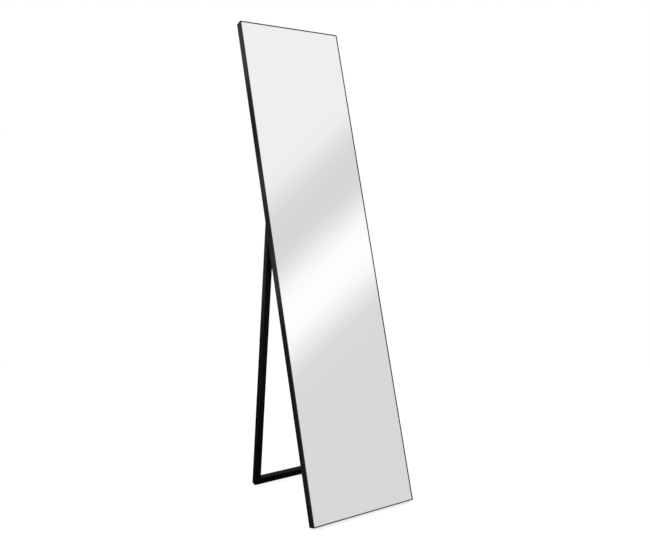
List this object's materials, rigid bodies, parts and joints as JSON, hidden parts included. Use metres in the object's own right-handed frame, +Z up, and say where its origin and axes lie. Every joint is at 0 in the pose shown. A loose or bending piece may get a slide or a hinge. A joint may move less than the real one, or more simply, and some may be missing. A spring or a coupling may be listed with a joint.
{
  "type": "leaning floor mirror",
  "caption": "Tall slim-framed floor mirror that leans back on a folding U-shaped tube stand hinged inside the back of the frame.",
  "frame": {"origin": "on the floor, under the middle of the object's bounding box", "axes": "+Z up, the mirror faces -Y and leans back towards +Y, +X to the right of a viewer facing the mirror"},
  "size_m": [0.35, 0.4474, 1.4469],
  "materials": {
    "frame_extrusion": "black anodised, satin",
    "stand_tube": "black powder coat, satin",
    "mirror_glass": "silvered float glass, polished",
    "splinter_film": "clear film, dull",
    "foam_tape": "closed-cell foam, matt",
    "hardboard": "smooth pressed hardboard",
    "zinc_plated_steel": "bright zinc plate",
    "rivet_aluminium": "bright, drawn",
    "hinge_steel": "black powder coat, satin",
    "hinge_nylon": "natural nylon, moulded",
    "insert_nylon": "black nylon, moulded",
    "end_fitting_cast": "die cast, black powder coat",
    "foot_rubber": "moulded rubber, matt"
  },
  "bodies": {
    "mirror": {"frame_side_left": "frame_extrusion", "frame_side_right": "frame_extrusion", "frame_top": "frame_extrusion", "frame_bottom": "frame_extrusion", "mirror_glass": "mirror_glass", "splinter_film": "splinter_film", "mounting_tape": "foam_tape", "back_board": "hardboard", "corner_key_bottom_left": "zinc_plated_steel", "corner_key_bottom_right": "zinc_plated_steel", "corner_key_top_left": "zinc_plated_steel", "corner_key_top_right": "zinc_plated_steel", "corner_key_screws": "zinc_plated_steel", "hinge_crossbar": "hinge_steel", "cheek_rivets": "rivet_aluminium", "crossbar_rivets": "rivet_aluminium", "hinge_washers": "hinge_nylon", "hinge_cheek_left": "hinge_steel", "hinge_cheek_right": "hinge_steel", "hinge_pin_left": "zinc_plated_steel", "hinge_pin_right": "zinc_plated_steel", "mirror_foot_left": "foot_rubber", "mirror_foot_right": "foot_rubber"},
    "stand": {"stand_leg_left": "stand_tube", "stand_leg_right": "stand_tube", "stand_bottom_rail": "stand_tube", "stand_corner_insert_left": "insert_nylon", "stand_corner_insert_right": "insert_nylon", "stand_corner_screws": "zinc_plated_steel", "leg_end_fitting_left": "end_fitting_cast", "leg_end_fitting_right": "end_fitting_cast", "leg_end_screws": "zinc_plated_steel", "hinge_bush_left": "hinge_nylon", "hinge_bush_right": "hinge_nylon", "stand_foot_left": "foot_rubber", "stand_foot_right": "foot_rubber"}
  },
  "joints": [
    {"name": "stand_hinge", "type": "hinge", "parent": "mirror", "child": "stand", "pos_m": [0, 0.04361, 0.84669], "axis": [1, 0, 0], "range_deg": [-23.7, 0]}
  ]
}
